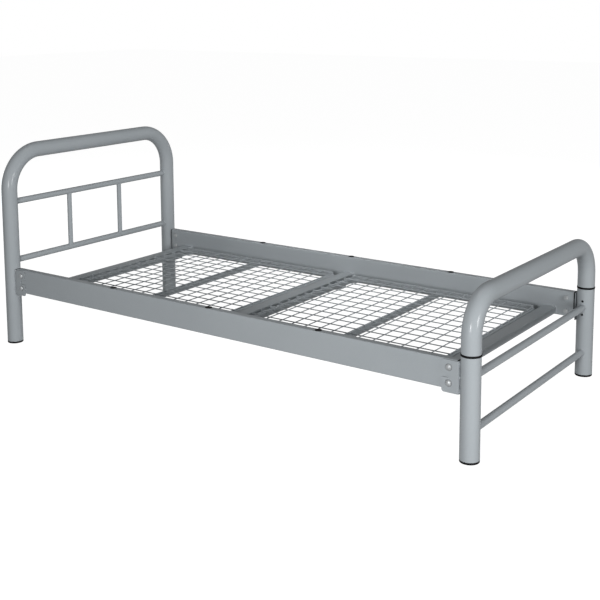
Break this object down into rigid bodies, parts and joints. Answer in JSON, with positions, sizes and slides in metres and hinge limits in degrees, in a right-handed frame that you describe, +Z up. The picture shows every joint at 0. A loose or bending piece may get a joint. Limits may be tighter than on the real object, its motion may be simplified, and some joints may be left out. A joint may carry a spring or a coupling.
{
  "type": "metal bed frame",
  "caption": "Single tubular steel bed frame with arched head and foot hoops, box-section side rails bolted to angle brackets, and lift-out wire mesh base panels.",
  "frame": {"origin": "floor level, under the middle of the overall box, midway between the head and foot posts", "axes": "+X from the head to the foot, +Y towards the rail on the far side, +Z up"},
  "size_m": [2.1322, 1.0034, 0.8155],
  "materials": {
    "silver_paint": "satin silver-grey powder coat",
    "black_plastic": "matt black moulded plastic",
    "zinc_steel": "bright zinc plate"
  },
  "bodies": {
    "frame": {"bolt_foot_far_lower": "zinc_steel", "bolt_foot_far_upper": "zinc_steel", "bolt_foot_near_lower": "zinc_steel", "bolt_foot_near_upper": "zinc_steel", "bolt_head_far_lower": "zinc_steel", "bolt_head_far_upper": "zinc_steel", "bolt_head_near_lower": "zinc_steel", "bolt_head_near_upper": "zinc_steel", "bracket_foot_far": "silver_paint", "bracket_foot_near": "silver_paint", "bracket_head_far": "silver_paint", "bracket_head_near": "silver_paint", "cross_member_foot": "silver_paint", "cross_member_head": "silver_paint", "cross_member_middle": "silver_paint", "foot_bar_lower": "silver_paint", "foot_bar_upper": "silver_paint", "foot_collar_far": "black_plastic", "foot_collar_near": "black_plastic", "foot_glide_far": "black_plastic", "foot_glide_near": "black_plastic", "foot_post_far": "silver_paint", "foot_post_near": "silver_paint", "head_bar_lower": "silver_paint", "head_bar_upper": "silver_paint", "head_glide_far": "black_plastic", "head_glide_near": "black_plastic", "head_hoop": "silver_paint", "head_spindle_far": "silver_paint", "head_spindle_near": "silver_paint", "nut_foot_far_lower": "zinc_steel", "nut_foot_far_upper": "zinc_steel", "nut_foot_near_lower": "zinc_steel", "nut_foot_near_upper": "zinc_steel", "nut_head_far_lower": "zinc_steel", "nut_head_far_upper": "zinc_steel", "nut_head_near_lower": "zinc_steel", "nut_head_near_upper": "zinc_steel", "rail_cap_foot_far": "black_plastic", "rail_cap_foot_near": "black_plastic", "rail_cap_head_far": "black_plastic", "rail_cap_head_near": "black_plastic", "rail_far": "silver_paint", "rail_near": "silver_paint", "rail_plug_far_1": "black_plastic", "rail_plug_far_2": "black_plastic", "rail_plug_far_3": "black_plastic", "rail_plug_near_1": "black_plastic", "rail_plug_near_2": "black_plastic", "rail_plug_near_3": "black_plastic"},
    "foot_hoop": {"foot_hoop": "silver_paint", "foot_spigot_far": "zinc_steel", "foot_spigot_near": "zinc_steel"},
    "head_panel": {"head_panel_frame": "silver_paint", "head_panel_middle_tube": "silver_paint", "head_panel_wire_mesh": "silver_paint"},
    "foot_panel": {"foot_panel_frame": "silver_paint", "foot_panel_middle_tube": "silver_paint", "foot_panel_wire_mesh": "silver_paint"}
  },
  "joints": [
    {"name": "foot_hoop_lift", "type": "slide", "parent": "frame", "child": "foot_hoop", "axis": [0, 0, 1], "range_m": [0, 0.09]},
    {"name": "head_panel_lift", "type": "slide", "parent": "frame", "child": "head_panel", "axis": [0, 0, 1], "range_m": [0, 0.15]},
    {"name": "foot_panel_lift", "type": "slide", "parent": "frame", "child": "foot_panel", "axis": [0, 0, 1], "range_m": [0, 0.15]}
  ]
}
